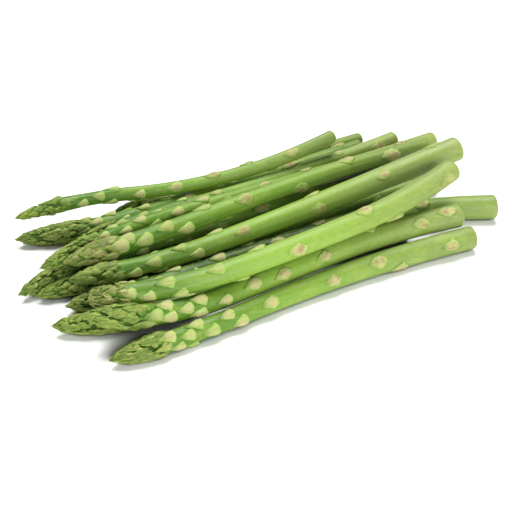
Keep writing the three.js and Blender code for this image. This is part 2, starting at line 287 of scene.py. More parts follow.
# Random spans, in the order in which they are drawn: factors of the measures above, angles in radians
# and millimetres.
ANY_TURN = (0, FULL_TURN)
PHASE_SPAN = (0, 6)
LEAN_SPAN = (-0.25, 0.25)
BRACT_SPANS = dict(size=(0.88, 1.12), turn=(-0.06, 0.06), lift=(0.8, 1.35), tone=(0, 1))
SCALE_SPANS = dict(shift=(-0.6, 0.6), size=(0.8, 1.18), turn=(-0.22, 0.22), half=(0.75, 1.15),
                   length=(0.8, 1.15), lift=(0.8, 1.3), peel=(-0.3, 1.0), tone=(0, 1))
BUD_SPANS = dict(shift=(-1.0, 1.0), turn=(-0.15, 0.15), length=(0.6, 1.3), half=(0.7, 1.2),
                 stray=(-1, 1), tone=(0, 1), curl=(-0.2, 0.9), sway=(-1.4, 1.4))
CURL_SPANS = dict(around=ANY_TURN, bend=(1.7, 3.8), curl=(2.2, 5.0), back=(0.9, 5.0), out=(3.5, 6.3),
                  wave=(-0.9, 0.9), drift=(-4, 4))
THREAD_SPANS = dict(thick=(0.28, 0.5), tone=(0.2, 1.1))
LOOSE_SPANS = dict(angle=ANY_TURN, rise=(-0.1, 1.6), length=(2.2, 5.0), sway=(-1.8, 1.8), tone=(0.2, 1.1))

# How far light spreads under a surface, in metres, and how much of each colour; then how rough,
# glowing and shiny leaves and cut faces are.
GLOW_DEPTH = 0.0016
GLOW_RADIUS = (0.5, 1.0, 0.25)
LEAF_ROUGH = 0.6
LEAF_GLOW = 0.08
LEAF_SHINE = 0.25
FACE_GLOW = 0.15
FACE_SHINE = 0.4

# The view, as the photograph's: the camera's turn and rise round the pile, and in metres its
# distance, the height that it turns round and how far below that it aims.
VIEW_TURN = math.radians(31)
VIEW_RISE = math.radians(35)
VIEW_DISTANCE = 0.66
VIEW_HEIGHT = 0.008
VIEW_DROP = 0.0099
LENS = 85
SENSOR = 36
NEAR_CLIP = 0.01

# Where the lights hang and turn to, in metres, and how wide and strong they are.
AIM = Vector((0.0, 0.0, 0.02))
SKY_PLACE = (0.2, 0.45, 1.05)
SKY_SPREAD = math.radians(42)
SKY_POWER = 5.2
FILL_PLACE = (-0.1, -1.2, 0.48)
FILL_SIZE = 1.0
FILL_POWER = 20
WORLD_STRENGTH = 0.05

# The floor's half width and how far it lies under the pile, in metres. Where the pile closes it in
# within this reach it is painted dark as shade, and it is white from the second share of open sky on.
FLOOR_HALF = 8.0
FLOOR_SINK = 0.0001
FLOOR_REACH = 0.02
FLOOR_OPEN = (0.02, 0.4)
FLOOR_SHADE_PAINT = (0.02, 0.03, 0.01, 1)
FLOOR_WHITE = (0.95, 0.95, 0.95, 1)
FLOOR_ROUGH = 0.8
FLOOR_SHINE = 0.1


def smooth(low, high, x):
    """0 below low, 1 above high, and a smooth step between."""
    s = np.clip((x - low) / (high - low), 0, 1)
    return s * s * (3 - 2 * s)


def circle(count):
    """Angles of points spread evenly round a circle."""
    return np.linspace(0, FULL_TURN, count, endpoint=False)


def waves(terms, phases, u, v):
    """A sum of waves over a bract. u goes from its base to its apex, v from side to side."""
    return sum(height * np.cos(along * u + aside * v + phases[k]) for height, along, aside, k in terms)


def plan_length(spear):
    """A spear's length as seen from above."""
    return math.hypot(spear["butt"][0] - spear["tip"][0], spear["butt"][1] - spear["tip"][1])


def crown(spear):
    """The length of the head's part with close scales."""
    return spear.get("crown", spear["head"])


def radius(spear, x):
    """Outer radius at x millimetres from the tip, as in the CAD."""
    share = np.clip((x - spear["head"]) / (plan_length(spear) - spear["head"]), 0, 1)
    stem = spear["neck"] + (spear["foot"] - spear["neck"]) * share
    u = np.clip(x / spear["head"], 0, 1)
    rise = np.minimum(u * HEAD_STEEP + HEAD_START, 1)
    swell = spear["neck"] * HEAD_SWELL * np.sin(math.pi / 2 * rise) ** HEAD_ROUND
    blend = smooth(HEAD_WANE, 1, u)
    return np.where(x >= spear["head"], stem, swell * (1 - blend) + spear["neck"] * blend)


def ground_height(r):
    """Height of the middle line of a stem that lies on a flat side."""
    return r * math.cos(math.pi / CAD_SIDES) - GROUND_SINK


def end_heights(spear):
    """Heights of the tip and the butt: a spear with none of its own lies on the ground."""
    if len(spear["tip"]) == 3:
        return spear["tip"][2], spear["butt"][2]
    return ground_height(spear["neck"]), ground_height(spear["foot"])


def centre(spear, t):
    """Points of the middle line, t = 0 at the tip and 1 at the butt, as in the CAD."""
    length = plan_length(spear)
    dx = spear["butt"][0] - spear["tip"][0]
    dy = spear["butt"][1] - spear["tip"][1]
    bow = 4 * t * (1 - t)
    nod = np.clip(1 - t / END_BEND, 0, 1) ** 2
    kick = np.clip((t - (1 - END_BEND)) / END_BEND, 0, 1) ** 2
    side = spear["bow"][0] * bow + spear["nod"][0] * nod + spear["kick"][0] * kick
    lift = spear["bow"][1] * bow + spear["nod"][1] * nod + spear["kick"][1] * kick
    low, high = end_heights(spear)
    return np.stack([
        spear["tip"][0] + dx * t - dy / length * side,
        spear["tip"][1] + dy * t + dx / length * side,
        low * (1 - t) + high * t + lift,
    ], axis=-1)


def tangent(spear, t):
    """Directions of the middle line, from the tip to the butt."""
    along = centre(spear, t + TANGENT_STEP) - centre(spear, t - TANGENT_STEP)
    return along / np.linalg.norm(along, axis=-1, keepdims=True)


def axes(spear, t):
    """Sideways and upward directions across the middle line."""
    along = tangent(spear, t)
    side = np.cross([0.0, 0.0, 1.0], along)
    side /= np.linalg.norm(side, axis=-1, keepdims=True)
    return side, np.cross(along, side)


LINES = [centre(spear, STATIONS) for spear in SPEARS]


def neighbours(index):
    """The spears near enough to touch, each with the places on it nearest to the stations."""
    near = []
    for k, line in enumerate(LINES):
        if k == index:
            continue
        apart = np.linalg.norm(LINES[index][:, None] - line[None], axis=2)
        reach = SPEARS[index]["foot"] + SPEARS[k]["foot"] + NEAR
        if apart.min() < reach:
            near.append((SPEARS[k], STATIONS[apart.argmin(axis=1)]))
    return near


def height_over(other, nearest, points):
    """Heights of points over another spear's skin, looked for round its places nearest."""
    length = plan_length(other)
    foot = centre(other, nearest)
    for _ in range(NEAREST_PASSES):
        along = tangent(other, nearest)
        step = np.einsum("ij,ij->i", points - foot, along) / length
        nearest = np.clip(nearest + step, 0, 1)
        foot = centre(other, nearest)
    return np.linalg.norm(points - foot, axis=1) - radius(other, nearest * length)


def pressed(index, x, angle, r):
    """Places on the middle line at x from the tip, directions out from them at an angle round the
    stem (a quarter turn is up), and distances out, shortened until they are clear of neighbours."""
    spear = SPEARS[index]
    t = x / plan_length(spear)
    at = centre(spear, t)
    side, top = axes(spear, t)
    out = np.cos(angle)[:, None] * side + np.sin(angle)[:, None] * top
    skin = radius(spear, x)
    near = [(other, np.interp(t, STATIONS, place)) for other, place in neighbours(index)]
    free = r
    for _ in range(PRESS_PASSES):
        points = at + out * r[:, None]
        push = np.zeros_like(r)
        for other, place in near:
            gap = (r - skin + CLEAR - height_over(other, place, points)) / 2
            push = np.maximum(push, gap)
        r = r - np.minimum(push, r * PRESS_MOST)
    return at, out, r + SPRING * (free - r)


def placed(index, x, angle, r):
    """Points at x from the tip, an angle round the stem and a distance from the middle line, clear of
    every neighbour and inside the CAD's box."""
    blunt = SPEARS[index]["blunt"]
    at, out, r = pressed(index, x, angle, r * (blunt + (1 - blunt) * smooth(0, POINT_LENGTH, x)))
    low, high = (np.array(corner) / MM + MIDDLE for corner in CAD_BOX)
    return np.clip(at + out * r[:, None], low, high)


def write_values(mesh, name, values):
    """Gives each point of a mesh a value."""
    attribute = mesh.attributes.new(name, "FLOAT", "POINT")
    attribute.data.foreach_set("value", values.astype(np.float32))


def write_vectors(mesh, name, *columns):
    """Gives each point of a mesh a vector."""
    attribute = mesh.attributes.new(name, "FLOAT_VECTOR", "POINT")
    attribute.data.foreach_set("vector", np.stack(columns, axis=-1).astype(np.float32).ravel())


class Growth:
    """Gathers the parts of one spear as grids of places on it, and makes them one mesh."""

    def __init__(self, index):
        self.index = index
        self.spear = SPEARS[index]
        self.length = plan_length(self.spear)
        self.random = np.random.RandomState(SEED + index)
        self.columns = {"x": [], "angle": [], "r": [], "u": [], "v": [], "tone": []}
        self.faces = []
        self.materials = []
        self.count = 0

    def draw(self, span, count=None):
        """A random value within a span, or so many of them."""
        return self.random.uniform(*span, count)

    def draws(self, spans):
        """A random value within each of the named spans, in their order."""
        return {name: self.draw(span) for name, span in spans.items()}

    def grid(self, material, x, angle, r, u=0, v=0, tone=0, closed=False, flip=False):
        """Adds a grid of points and its faces, and returns the numbers of the points. A closed grid
        meets itself round the stem, and flip turns its faces over."""
        values = np.broadcast_arrays(x, angle, r, u, v, tone)
        rows, columns = values[0].shape
        for column, value in zip(self.columns.values(), values):
            column.append(value.ravel())
        at = self.count + np.arange(rows * columns).reshape(rows, columns)
        self.count += rows * columns
        right = np.roll(at, -1, axis=1) if closed else at[:, 1:]
        left = at if closed else at[:, :-1]
        quads = np.stack([left[:-1], right[:-1], right[1:], left[1:]], axis=-1).reshape(-1, 4)
        if flip:
            quads = quads[:, ::-1]
        self.add(material, quads.tolist())
        return at

    def add(self, material, faces):
        self.faces.extend(faces)
        self.materials.extend([material] * len(faces))

    def cap(self, material, at):
        """Closes both ends of a closed grid."""
        self.add(material, [at[0, ::-1].tolist(), at[-1].tolist()])

    def wall(self, material, lower, upper):
        """Joins the edges of two grids, the lower and the upper skin of a thin body."""
        def edge(at):
            return np.concatenate([at[0, :-1], at[:-1, -1], at[-1, :0:-1], at[:0:-1, 0]])
        a = edge(lower)
        b = edge(upper)
        quads = np.stack([a, b, np.roll(b, -1), np.roll(a, -1)], axis=-1)
        self.add(material, quads.tolist())

    def mesh(self, materials):
        """One mesh of all that was added, with the values that its materials read."""
        data = {name: np.concatenate(parts) for name, parts in self.columns.items()}
        x, angle, r = data["x"], data["angle"], data["r"]
        points = placed(self.index, x, angle, r)
        mesh = bpy.data.meshes.new(self.spear["name"] + "_grown")
        mesh.from_pydata(((points - MIDDLE) * MM).tolist(), [], self.faces)
        for material in materials:
            mesh.materials.append(material)
        mesh.polygons.foreach_set("material_index", self.materials)
        mesh.polygons.foreach_set("use_smooth", [True] * len(self.faces))
        share = x / self.length
        pale = self.spear.get("pale", 0) * smooth(PALE_FROM, 1, share)
        apart = PATTERN_SHIFT * self.index
        write_vectors(mesh, "plain", x + apart, r * np.cos(angle), r * np.sin(angle))
        write_vectors(mesh, "leaf", data["u"], data["v"], data["tone"])
        write_values(mesh, "share", share)
        write_values(mesh, "beyond", x - crown(self.spear))
        write_values(mesh, "depth", radius(self.spear, x) - r)
        write_values(mesh, "shade", self.spear["tone"] + pale)
        write_values(mesh, "ripe", np.full(self.count, self.spear["ripe"]))
        mesh.update()
        return mesh


SKIN, BRACT, BUD_SKIN, FACE = range(4)


def stem_nodes(spear):
    """Places of the bracts on the stem, x and degrees round it. Between two known ones there is
    one on the far side, and a spear with none known has a spiral."""
    seen = spear.get("bracts", ())
    for (x, angle), (after, turn) in zip(seen, seen[1:]):
        yield x, angle
        yield (x + after) / 2, (angle + turn) / 2 + 180
    if seen:
        yield seen[-1]
        return
    x = spear["head"] - SPIRAL_START
    gap = FIRST_GAP * spear["neck"] / THICK
    angle = spear["turn"]
    while x < plan_length(spear) - BARE_END:
        yield x, angle
        x += gap
        gap *= GAP_GROWTH
        angle -= GOLDEN


def skin_rings(spear, length):
    """Places of the skin's rings, from inside the head to the end of the rim, and how far the rim's
    rings are drawn in."""
    corner = np.linspace(0, math.pi / 2, RIM_RINGS)
    head = np.linspace(CORE_START, 1, HEAD_RINGS) * spear["head"]
    stem = np.arange(spear["head"] + RING_STEP, length - RIM_ROUND - RIM_GAP, RING_STEP)
    rim = length - RIM_ROUND * (1 - np.sin(corner))
    inset = RIM_ROUND * (1 - np.cos(corner))
    return np.concatenate([head, stem, rim]), np.concatenate([0 * head, 0 * stem, inset])


def relief(growth, x, angle):
    """Heights of the stem's ribs, flats and ovals over its round section."""
    phase = growth.draw(ANY_TURN, 4)
    swing = sum(high * np.sin(x / wave + start) for (wave, high), start in zip(SWINGS, phase))
    ribs = np.cos(RIBS * angle + phase[2] + RIB_TWIST * swing)
    ribs += FLAT_SHARE * np.cos(FLATS * angle + phase[3])
    oval = OVAL_HEIGHT * swing * np.cos(2 * angle + phase[1])
    return smooth(0, RIB_GROWTH, x - growth.spear["head"]) * (RIB_HEIGHT * ribs + oval)


def grow_skin(growth):
    """The stem's skin from inside the head to the rounded rim, and the cut face."""
    spear = growth.spear
    places, inset = skin_rings(spear, growth.length)
    x, angle = np.meshgrid(places, circle(SKIN_SIDES), indexing="ij")
    core = CORE_SHARE + (SKIN_SHARE - CORE_SHARE) * smooth(*CORE_ENDS, x / crown(spear))
    r = radius(spear, x) * core + relief(growth, x, angle) - inset[:, None]
    at = growth.grid(SKIN, x, angle, r, closed=True)
    growth.add(SKIN, [at[0, ::-1].tolist()])
    rings = np.array(FACE_RINGS)[:, None]
    face_x = growth.length - FACE_DISH * (1 - rings ** 2)
    face = growth.grid(FACE, face_x, angle[0], r[-1] * rings, u=1 - rings, closed=True)
    quads = np.stack([at[-1], np.roll(at[-1], -1), np.roll(face[0], -1), face[0]], axis=-1)
    growth.add(FACE, quads.tolist())
    growth.add(FACE, [face[-1].tolist()])


def between(first, second, share):
    """A form's measures between two forms."""
    return {name: first[name] * (1 - share) + second[name] * share for name in first}


def bract_plan(form, size, u, v, phases):
    """A bract seen from above: its width as a share, and how far its base bulges."""
    width = (1 - u ** form["taper"]) * (1 - form["flare"] * np.sin(math.pi * u)) + APEX_WIDTH
    width *= 1 - form["pinch"] * np.clip(1 - u / form["rounding"], 0, 1) ** 2
    width *= 1 + form["ragged"] * waves(SIDE_WAVES, phases, u, v)
    bulge = form["bulge"] * size * (1 - v ** 2) * (1 - u) ** 3
    bulge += form["ragged"] * BASE_FRINGE * waves(BASE_WAVES, phases, u, v) * (1 - u) ** 4
    return width, bulge


def bract_height(form, size, u, v, phases):
    """Heights of a bract's upper side over the skin: a crest that falls to the apex and the sides."""
    lift = form["lift"] * size
    edge = form["edge"]
    crest = form["brow"] + (1 - form["brow"]) * smooth(0, BROW_END, u)
    crest *= 1 - CREST_FALL * smooth(CREST_FROM, 1, u)
    height = edge + (lift - edge) * crest * (1 - np.abs(v) ** SECTION_POWER)
    height += form["folds"] * waves(FOLD_WAVES, phases, u, v)
    height = np.maximum(height, edge / 2) - form["tuck"] * size * (1 - smooth(0, TUCK_END, u))
    return height + form["peel"] * size * smooth(PEEL_FROM, 1, u)


def lower_side(skin, height, form, size):
    """Distances of a bract's lower side: its own thickness under the upper, or sunk in the stem."""
    if form["tuck"]:
        return np.maximum(skin + height - form["thick"] * size, LEAF_CORE)
    return np.minimum(skin - form["thick"], skin + height - LEAF_LEAST)


def grow_bract(growth, x, angle, size, form, tone, points):
    """One bract, hugging the stem: its base x from the tip, its apex towards the tip. size scales
    its form, and points are its rows and columns."""
    spear = growth.spear
    rows = np.linspace(0, 1, points[0]) ** ROW_CROWDING
    u, v = np.meshgrid(rows, np.linspace(-1, 1, points[1]), indexing="ij")
    phases = growth.draw(PHASE_SPAN, PHASES)
    length = min(form["length"] * size, x - TIP_GAP)
    half = form["half"] * size
    width, bulge = bract_plan(form, size, u, v, phases)
    place = np.maximum(x - u * length + bulge, TIP_EDGE)
    skin = radius(spear, place)
    middle = np.maximum(radius(spear, max(x - WIDEST * length, TIP_EDGE)), BRACT_LEAST)
    turn = angle + (v * width + growth.draw(LEAN_SPAN) * u ** LEAN_POWER) * half / middle
    height = bract_height(form, size, u, v, phases)
    under = lower_side(skin, height, form, size)
    upper = growth.grid(BRACT, place, turn, skin + height, u, v, tone, flip=True)
    lower = growth.grid(BRACT, place, turn, under, u, v, tone)
    growth.wall(BRACT, lower, upper)


def grow_bud(growth, x, angle, length, half, rise, thick, tone, curl, sway):
    """A plump pointed bud that lies along the stem. rise is the height of its middle over the skin
    and thick its half thickness; curl lifts its apex and sway turns it aside."""
    rows = np.linspace(BUD_START, 1, BUD_RINGS)
    u, spin = np.meshgrid(rows, circle(BUD_SIDES), indexing="ij")
    fat = np.sin(math.pi * u ** BUD_SHIFT) ** BUD_PLUMP + BUD_END
    length = min(length, x - TIP_GAP)
    place = np.maximum(x - u * length, TIP_EDGE)
    skin = radius(growth.spear, place)
    middle = np.maximum(skin, BUD_LEAST)
    around = angle + (np.cos(spin) * fat * half + sway * u ** 2) / middle
    r = np.maximum(skin + rise + np.sin(spin) * fat * thick + curl * u ** 2, BUD_CORE)
    at = growth.grid(BUD_SKIN, place, around, r, u, np.cos(spin), tone, closed=True)
    growth.cap(BUD_SKIN, at)


def grow_stem_bracts(growth):
    """The bracts below the head: fans that change to patches towards the butt."""
    spear = growth.spear
    low, high = BRACT_SPANS["lift"]
    for x, angle in stem_nodes(spear):
        far = smooth(*PATCH_SPAN, x - spear["head"])
        drawn = growth.draws(dict(BRACT_SPANS, lift=(low, high + PATCH_LIFT * far)))
        size = (spear["neck"] / THICK) ** THICK_POWER * spear.get("fan", 1.0) * drawn["size"]
        form = between(FAN, PATCH, far)
        form["lift"] *= drawn["lift"]
        grow_bract(growth, x, math.radians(angle) + drawn["turn"], size, form, drawn["tone"], BRACT_GRID)


def scale_count(spear):
    """How many scales a head has."""
    count = HEAD_NODES / spear["tongue"] ** WIDE_POWER * (crown(spear) / spear["head"]) ** 0.5
    return round(count / max(1, OPEN_THINNING * spear["open"]))


def scale_form(spear, drawn):
    """The measures of one scale of the head."""
    form = dict(TONGUE, half=TONGUE["half"] * spear["tongue"] * drawn["half"])
    form["length"] *= (0.5 + 0.5 * spear["tongue"] ** 0.5) * drawn["length"]
    form["lift"] *= drawn["lift"]
    form["peel"] += spear["open"] * drawn["peel"]
    return form


def grow_scale_buds(growth, base, angle, size):
    """The buds beside and behind the base of a scale."""
    middle = np.maximum(radius(growth.spear, base), NODE_LEAST)
    for aside, ahead in BUD_PLACES:
        drawn = growth.draws(BUD_SPANS)
        grow_bud(
            growth,
            base - ahead * size + drawn["shift"],
            angle + aside * size / middle + drawn["turn"],
            BUD["length"] * size * drawn["length"],
            BUD["half"] * size * drawn["half"],
            (BUD["rise"] + BUD["stray"] * drawn["stray"]) * size,
            BUD["thick"] * size,
            drawn["tone"],
            curl=growth.spear["open"] * drawn["curl"],
            sway=drawn["sway"],
        )


def grow_head(growth):
    """The head: scales in a spiral that close over buds, smaller and closer towards the tip."""
    spear = growth.spear
    count = scale_count(spear)
    for k in range(count):
        share = k / (count - 1)
        drawn = growth.draws(SCALE_SPANS)
        base = crown(spear) * (1 - HEAD_REACH * share ** HEAD_CROWDING) + drawn["shift"]
        size = spear["neck"] / THICK * (1 - TIP_SHRINK * share) * drawn["size"]
        angle = math.radians(spear["turn"] + GOLDEN * (k + 1)) + drawn["turn"]
        grow_bract(growth, base, angle, size, scale_form(spear, drawn), drawn["tone"], SCALE_GRID)
        grow_scale_buds(growth, base, angle, size)


def curl_path(around, bend, curl, back, out, wave, drift):
    """A thread's path: forward over the head's side to near its tip, then round in a hook. Its
    points are [from the tip, sideways, up] from the middle line."""
    s = np.linspace(0, 1, THREAD_POINTS)[:, None]
    ahead = np.array([-1.0, 0.0, 0.0])
    outward = np.array([0.0, math.cos(around), math.sin(around)])
    across = np.array([0.0, -math.sin(around), math.cos(around)])
    start = -ahead * (curl + back) + outward * out
    path = start + (ahead * np.sin(bend * s) - outward * (1 - np.cos(bend * s))) * curl
    return path + across * (drift * s ** DRIFT_POWER + wave * np.sin(THREAD_SWAY * s + around))


def is_free(growth, path):
    """Whether a thread can follow a path without pressing on a neighbour."""
    x = np.maximum(path[:, 0], TIP_GAP)
    r = np.hypot(path[:, 1], path[:, 2]) + THREAD_ROOM
    _, _, free = pressed(growth.index, x, np.arctan2(path[:, 2], path[:, 1]), r)
    return np.all(r - free < PRESSED_LEAST)


def grow_thread(growth, path, thick, tone):
    """A thin tube along a path, kept a little off the middle line. It narrows at both ends."""
    off_line = np.maximum(1, THREAD_ROOM / np.hypot(path[:, 1], path[:, 2]))
    path = path * np.stack([np.ones_like(off_line), off_line, off_line], axis=-1)
    along = np.gradient(path, axis=0)
    along /= np.linalg.norm(along, axis=1, keepdims=True)
    side = np.cross(along, ASKEW)
    side /= np.linalg.norm(side, axis=1, keepdims=True)
    over = np.cross(along, side)
    spin = circle(BUD_SIDES)
    u = np.linspace(0, 1, len(path))
    full = np.sin(math.pi * (THREAD_TAPER + (1 - 2 * THREAD_TAPER) * u)) ** 0.5
    fat = thick * (THREAD_END + (1 - THREAD_END) * full)
    ring = np.cos(spin)[None, :, None] * side[:, None] + np.sin(spin)[None, :, None] * over[:, None]
    points = path[:, None] + ring * fat[:, None, None]
    x = np.maximum(points[..., 0], TIP_GAP)
    angle = np.arctan2(points[..., 2], points[..., 1])
    r = np.maximum(np.hypot(points[..., 1], points[..., 2]), BUD_CORE)
    at = growth.grid(BUD_SKIN, x, angle, r, u[:, None], np.cos(spin), tone, closed=True)
    growth.cap(BUD_SKIN, at)


def grow_flowering_tip(growth):
    """The ragged flowering tip of one spear: curly threads and small round buds."""
    grown = 0
    while grown < THREADS:
        path = curl_path(**growth.draws(CURL_SPANS))
        if is_free(growth, path):
            grow_thread(growth, path, **growth.draws(THREAD_SPANS))
            grown += 1
    for _ in range(LOOSE_BUDS):
        base = growth.draw((LOOSE_REACH, crown(growth.spear) + LOOSE_REACH))
        grow_bud(growth, base, **growth.draws(LOOSE_SPANS), **LOOSE_BUD)


class Shader:
    """A node material, written as nested calls. Each call adds a node and returns its output."""

    def __init__(self, name):
        self.material = bpy.data.materials.new(name)
        self.material.use_nodes = True
        self.tree = self.material.node_tree
        self.skin = self.tree.nodes["Principled BSDF"]

    def put(self, socket, value):
        if isinstance(value, bpy.types.NodeSocket):
            self.tree.links.new(value, socket)
        else:
            socket.default_value = value

    def attribute(self, name, output="Fac"):
        node = self.tree.nodes.new("ShaderNodeAttribute")
        node.attribute_name = name
        return node.outputs[output]

    def math(self, operation, a, b=0.0):
        node = self.tree.nodes.new("ShaderNodeMath")
        node.operation = operation
        self.put(node.inputs[0], a)
        self.put(node.inputs[1], b)
        return node.outputs[0]

    def times(self, a, b):
        return self.math("MULTIPLY", a, b)

    def plus(self, a, b):
        return self.math("ADD", a, b)

    def stretch(self, vector, along, across):
        """Coordinates of a pattern: its units for a millimetre along the spear and across it."""
        node = self.tree.nodes.new("ShaderNodeVectorMath")
        node.operation = "MULTIPLY"
        self.put(node.inputs[0], vector)
        node.inputs[1].default_value = (along, across, across)
        return node.outputs[0]

    def split(self, vector):
        node = self.tree.nodes.new("ShaderNodeSeparateXYZ")
        self.put(node.inputs[0], vector)
        return node.outputs

    def noise(self, vector, along, across, detail=2.0, rough=0.5):
        node = self.tree.nodes.new("ShaderNodeTexNoise")
        self.put(node.inputs["Vector"], self.stretch(vector, along, across))
        node.inputs["Scale"].default_value = 1.0
        node.inputs["Detail"].default_value = detail
        node.inputs["Roughness"].default_value = rough
        return node.outputs["Fac"]

    def cells(self, vector, along, across):
        node = self.tree.nodes.new("ShaderNodeTexVoronoi")
        self.put(node.inputs["Vector"], self.stretch(vector, along, across))
        node.inputs["Scale"].default_value = 1.0
        return node.outputs["Distance"]

    def step(self, value, low, high, start=0.0, end=1.0):
        """A smooth step from start to end as value goes from low to high."""
        node = self.tree.nodes.new("ShaderNodeMapRange")
        node.interpolation_type = "SMOOTHSTEP"
        self.put(node.inputs["Value"], value)
        node.inputs["From Min"].default_value = low
        node.inputs["From Max"].default_value = high
        node.inputs["To Min"].default_value = start
        node.inputs["To Max"].default_value = end
        return node.outputs["Result"]

    def mix(self, share, a, b):
        node = self.tree.nodes.new("ShaderNodeMix")
        node.data_type = "RGBA"
        self.put(node.inputs["Factor"], share)
        self.put(node.inputs["A"], a)
        self.put(node.inputs["B"], b)
        return node.outputs["Result"]

    def layer(self, colour, paint, value, low, high, most=1.0):
        """Lays paint over a colour, from none where value is low to most where it is high."""
        return self.mix(self.step(value, low, high, 0, most), colour, paint)

    def bump(self, height, distance, strength):
        node = self.tree.nodes.new("ShaderNodeBump")
        node.inputs["Strength"].default_value = strength
        node.inputs["Distance"].default_value = distance
        self.put(node.inputs["Height"], height)
        self.put(self.skin.inputs["Normal"], node.outputs[0])

    def finish(self, colour, roughness=LEAF_ROUGH, glow=LEAF_GLOW, shine=LEAF_SHINE):
        self.put(self.skin.inputs["Base Color"], colour)
        self.put(self.skin.inputs["Roughness"], roughness)
        self.skin.inputs["Subsurface Weight"].default_value = glow
        self.skin.inputs["Subsurface Radius"].default_value = GLOW_RADIUS
        self.skin.inputs["Subsurface Scale"].default_value = GLOW_DEPTH
        self.skin.inputs["Specular IOR Level"].default_value = shine
        return self.material


def rgb(red, green, blue):
    """A colour from 0 to 255, as it looks on a screen, in linear values."""
    def linear(value):
        value /= 255
        return value / 12.92 if value <= 0.04045 else ((value + 0.055) / 1.055) ** 2.4
    return (linear(red), linear(green), linear(blue), 1)


def stem_colour(s, plain):
    """Green, deeper below the head and paler and greyer towards the butt, with streaks and specks."""
    shade = s.attribute("shade")
    streaks = s.noise(plain, along=0.035, across=0.8, detail=3, rough=0.6)
    blotches = s.noise(plain, along=0.06, across=0.16, detail=3, rough=0.6)
    mottle = s.noise(plain, along=0.35, across=0.9, detail=3, rough=0.6)
    specks = s.cells(plain, along=0.2, across=0.3)
    fresh = s.mix(shade, rgb(86, 125, 33), rgb(129, 161, 61))
    # Painted shade: a tone below zero darkens the stem to a deep green that stands in for shade; only
    # spear_l has one.
    fresh = s.layer(fresh, rgb(38, 63, 13), shade, 0.0, -0.6)
    aged = s.mix(shade, rgb(89, 118, 42), rgb(134, 147, 83))
    colour = s.layer(fresh, aged, s.attribute("share"), 0.45, 1.0)
    colour = s.layer(colour, rgb(60, 102, 14), s.attribute("beyond"), 80, 5, 0.9)
    colour = s.layer(colour, rgb(142, 162, 71), blotches, 0.45, 0.7, 0.4)
    colour = s.layer(colour, rgb(147, 162, 89), mottle, 0.5, 0.75, 0.3)
    colour = s.layer(colour, rgb(76, 112, 28), mottle, 0.5, 0.3, 0.2)
    colour = s.layer(colour, rgb(145, 165, 83), streaks, 0.5, 0.75, 0.15)
    colour = s.layer(colour, rgb(66, 107, 20), streaks, 0.5, 0.25, 0.2)
    return s.layer(colour, rgb(49, 73, 25), specks, 0.07, 0.03, 0.6)


def skin_material():
    """The stem's skin. Where it shows between the scales of a head it is painted dark, as shade in the
    hollows, and dull.
    """
    s = Shader("asparagus_skin")
    plain = s.attribute("plain", "Vector")
    in_head = s.step(s.attribute("beyond"), 6, 0)
    deep = s.times(s.step(s.attribute("depth"), 0.3, 0.7), in_head)
    # Painted shade: the dark green of inside stands in for the shade deep between a head's scales.
    inside = s.mix(s.noise(plain, along=0.6, across=1.2), rgb(36, 60, 16), rgb(73, 98, 36))
    grain = s.noise(plain, along=0.12, across=2.6, detail=3, rough=0.6)
    s.bump(grain, distance=0.00012, strength=0.5)
    rough = s.math("MAXIMUM", s.step(grain, 0.3, 0.7, 0.4, 0.52), deep)
    return s.finish(s.mix(deep, stem_colour(s, plain), inside), rough)


def fan_colour(s, u, side, tone, veins, blotches):
    """A papery bract: a green rim round a beige blush, with veins."""
    rim = s.mix(tone, rgb(132, 162, 70), rgb(156, 182, 98))
    blush = s.mix(blotches, rgb(152, 162, 98), rgb(178, 158, 116))
    inner = s.times(s.step(side, 0.95, 0.4), s.step(u, 0.03, 0.14))
    colour = s.mix(s.times(inner, s.step(tone, 0.0, 0.7, 0.5, 0.95)), rim, blush)
    return s.layer(colour, rgb(105, 123, 60), veins, 0.48, 0.7, 0.5)


def patch_colour(s, plain, colour, stem, outer, old):
    """On the lower stem only a bract's middle is papery, and its margin is lost in the green."""
    spots = s.noise(plain, along=0.24, across=0.36, detail=3)
    heart = s.times(s.step(outer, 1.6, 1.1), s.step(spots, 0.42, 0.6, 0, 0.7))
    colour = s.mix(s.times(old, heart), colour, rgb(133, 103, 70))
    return s.mix(s.times(old, s.step(outer, 1.45, 1.8, 0, 0.95)), colour, stem)


def scale_colour(s, u, side, tone, veins, mottle):
    """The scales of the head: green to beige, with edges painted lighter as highlights, and dark veins."""
    green = s.mix(tone, rgb(88, 120, 30), rgb(129, 150, 53))
    beige = s.mix(tone, rgb(103, 105, 56), rgb(139, 132, 81))
    colour = s.mix(s.times(s.attribute("ripe"), s.step(u, 1.0, 0.2)), green, beige)
    # Painted highlight: the scales' sides are painted lighter, as light catching their edges.
    colour = s.layer(colour, rgb(152, 170, 86), side, 0.5, 0.95, 0.6)
    colour = s.layer(colour, rgb(46, 66, 20), veins, 0.45, 0.7, 0.6)
    colour = s.layer(colour, rgb(60, 86, 25), mottle, 0.5, 0.35, 0.5)
    return s.layer(colour, rgb(145, 150, 86), mottle, 0.55, 0.75, 0.4)


